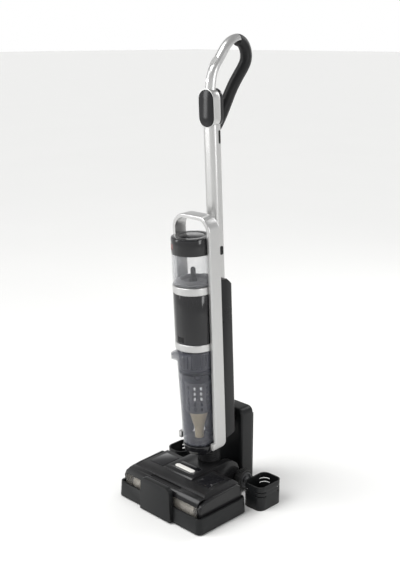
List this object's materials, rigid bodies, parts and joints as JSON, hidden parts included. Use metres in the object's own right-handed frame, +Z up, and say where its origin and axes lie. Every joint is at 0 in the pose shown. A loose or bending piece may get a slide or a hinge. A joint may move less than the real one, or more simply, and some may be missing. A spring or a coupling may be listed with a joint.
{
  "type": "wet dry floor scrubber",
  "caption": "Upright stick floor washer with stacked round tanks, a looped handle and a wide roller head, parked in a charging dock with side baskets.",
  "frame": {"origin": "on the floor, at the centre of the whole object's bounding box in plan", "axes": "+Z up, -Y towards the front of the dock, +X to the machine's left hand side as seen from behind the handle"},
  "size_m": [0.328, 0.3114, 1.0895],
  "materials": {
    "dock_plastic": "satin",
    "dock_back": "satin",
    "rubber": "matte",
    "contact_metal": "polished",
    "inlet": "matte",
    "basket_plastic": "satin",
    "chassis": "matte",
    "cover_gloss": "gloss",
    "silver": "satin metallic",
    "smoke_brown": "tinted clear",
    "latch_black": "matte",
    "core_plastic": "gloss",
    "pile": "pile",
    "motor_steel": "brushed",
    "duct": "matte",
    "tyre": "ribbed",
    "hub": "satin",
    "neck": "matte",
    "body_gloss": "gloss",
    "battery_wrap": "wrap",
    "board": "solder mask",
    "pump": "matte",
    "impeller": "machined",
    "clear_smoke": "clear",
    "blue_smoke": "tinted clear",
    "red": "gloss",
    "cream": "matte",
    "mesh": "matte",
    "filter": "pleated",
    "lens": "mirror gloss"
  },
  "bodies": {
    "dock": {"dock_tray": "dock_plastic", "dock_tower": "dock_plastic", "dock_tower_back": "dock_back", "dock_feet": "rubber", "dock_contacts": "contact_metal", "dc_inlet": "inlet"},
    "left_basket": {"basket_left": "basket_plastic"},
    "right_basket": {"basket_right": "basket_plastic"},
    "head": {"head_chassis": "chassis", "head_cover": "cover_gloss", "head_light_bar": "silver", "side_cap_left": "cover_gloss", "side_cap_right": "cover_gloss", "drive_motor": "motor_steel", "drive_belt": "rubber", "squeegee_blade": "rubber", "suction_duct": "duct"},
    "roller_cover": {"cover_lip": "cover_gloss", "roller_window": "smoke_brown"},
    "cover_latch": {"cover_latch": "latch_black"},
    "roller": {"roller_core": "core_plastic", "roller_sleeve": "pile", "roller_pulley": "duct"},
    "motor_drive": {"motor_pulley": "motor_steel"},
    "left_wheel": {"wheel_left_hub": "hub", "wheel_left_tyre": "tyre"},
    "right_wheel": {"wheel_right_hub": "hub", "wheel_right_tyre": "tyre"},
    "neck": {"neck_yoke": "neck"},
    "machine": {"body_base": "body_gloss", "column_shell": "body_gloss", "column_back_cover": "body_gloss", "battery_pack": "battery_wrap", "circuit_board": "board", "water_pump": "pump", "motor_housing": "body_gloss", "lower_ring": "silver", "upper_ring": "silver", "suction_motor": "motor_steel", "side_frame": "silver"},
    "fan": {"impeller": "impeller"},
    "tank_button": {"tank_release": "latch_black"},
    "clean_water": {"clean_tank": "clear_smoke", "tank_valve": "latch_black"},
    "lid": {"clean_tank_lid": "body_gloss"},
    "lid_button": {"lid_latch": "red"},
    "dirty_water": {"dirty_tank": "blue_smoke", "standpipe": "cream", "mesh_basket": "mesh", "tank_filter": "filter"},
    "stick": {"stick_tube": "body_gloss", "pod_rim": "silver", "pod_lens": "lens", "pod_back": "body_gloss", "handle_cover": "silver", "handle_grip": "latch_black"},
    "stick_button": {"stick_button": "latch_black"},
    "power": {"power_button": "body_gloss"},
    "mode": {"mode_button": "latch_black"}
  },
  "joints": [
    {"name": "undock_lift", "type": "slide", "parent": "dock", "child": "head", "axis": [0, 0, 1], "range_m": [0, 0.55]},
    {"name": "left_basket_lift", "type": "slide", "parent": "dock", "child": "left_basket", "axis": [0, 0, 1], "range_m": [0, 0.15]},
    {"name": "right_basket_lift", "type": "slide", "parent": "dock", "child": "right_basket", "axis": [0, 0, 1], "range_m": [0, 0.15]},
    {"name": "body_recline", "type": "hinge", "parent": "head", "child": "neck", "pos_m": [0, 0.02821, 0.06202], "axis": [-1, 0, 0], "range_deg": [0, 55]},
    {"name": "body_swivel", "type": "hinge", "parent": "neck", "child": "machine", "pos_m": [0, 0.02476, 0.12994], "axis": [0, -0.0506, 0.9987], "range_deg": [-35, 35]},
    {"name": "roller_cover_lift", "type": "slide", "parent": "head", "child": "roller_cover", "axis": [0, 0, 1], "range_m": [0, 0.08]},
    {"name": "cover_latch_press", "type": "slide", "parent": "roller_cover", "child": "cover_latch", "axis": [0, 0, -1], "range_m": [0, 0.0015], "stiffness_N_per_m": 400},
    {"name": "roller_spin", "type": "hinge", "parent": "head", "child": "roller", "pos_m": [0, -0.10371, 0.037], "axis": [1, 0, 0], "continuous": true},
    {"name": "motor_pulley_spin", "type": "hinge", "parent": "head", "child": "motor_drive", "pos_m": [0.107, -0.0397, 0.052], "axis": [1, 0, 0], "continuous": true},
    {"name": "left_wheel_spin", "type": "hinge", "parent": "head", "child": "left_wheel", "pos_m": [-0.057, 0.08829, 0.029], "axis": [1, 0, 0], "continuous": true},
    {"name": "right_wheel_spin", "type": "hinge", "parent": "head", "child": "right_wheel", "pos_m": [0.057, 0.08829, 0.029], "axis": [1, 0, 0], "continuous": true},
    {"name": "impeller_spin", "type": "hinge", "parent": "machine", "child": "fan", "pos_m": [0, -0.02037, 0.42803], "axis": [0, -0.0506, 0.9987], "continuous": true},
    {"name": "tank_release_press", "type": "slide", "parent": "machine", "child": "tank_button", "axis": [0, 0.9987, 0.0506], "range_m": [0, 0.0025], "stiffness_N_per_m": 400},
    {"name": "clean_tank_out", "type": "slide", "parent": "machine", "child": "clean_water", "axis": [0, -0.9987, -0.0506], "range_m": [0, 0.15]},
    {"name": "lid_open", "type": "hinge", "parent": "clean_water", "child": "lid", "pos_m": [0, 0.01954, 0.6205], "axis": [-1, 0, 0], "range_deg": [0, 75]},
    {"name": "lid_latch_press", "type": "slide", "parent": "lid", "child": "lid_button", "axis": [0.5469, 0.8361, 0.0424], "range_m": [0, 0.0012], "stiffness_N_per_m": 400},
    {"name": "dirty_tank_out", "type": "slide", "parent": "machine", "child": "dirty_water", "axis": [0, -0.9987, -0.0506], "range_m": [0, 0.15]},
    {"name": "stick_pull", "type": "slide", "parent": "machine", "child": "stick", "axis": [0, -0.0506, 0.9987], "range_m": [0, 0.1]},
    {"name": "stick_button_press", "type": "slide", "parent": "stick", "child": "stick_button", "axis": [-1, 0, 0], "range_m": [0, 0.0015], "stiffness_N_per_m": 400},
    {"name": "power_press", "type": "slide", "parent": "stick", "child": "power", "axis": [0, 0.7536, -0.6574], "range_m": [0, 0.0015], "stiffness_N_per_m": 400},
    {"name": "mode_press", "type": "slide", "parent": "stick", "child": "mode", "axis": [0, 0.974, -0.2267], "range_m": [0, 0.0012], "stiffness_N_per_m": 400}
  ],
  "couplings": [
    {"joint": "body_recline", "follows": "undock_lift", "rad_per_m": 1.7436},
    {"joint": "body_swivel", "follows": "undock_lift", "rad_per_m": 0.952},
    {"joint": "motor_pulley_spin", "follows": "roller_spin", "ratio": 2.75},
    {"joint": "lid_open", "follows": "clean_tank_out", "rad_per_m": 8.1449}
  ]
}
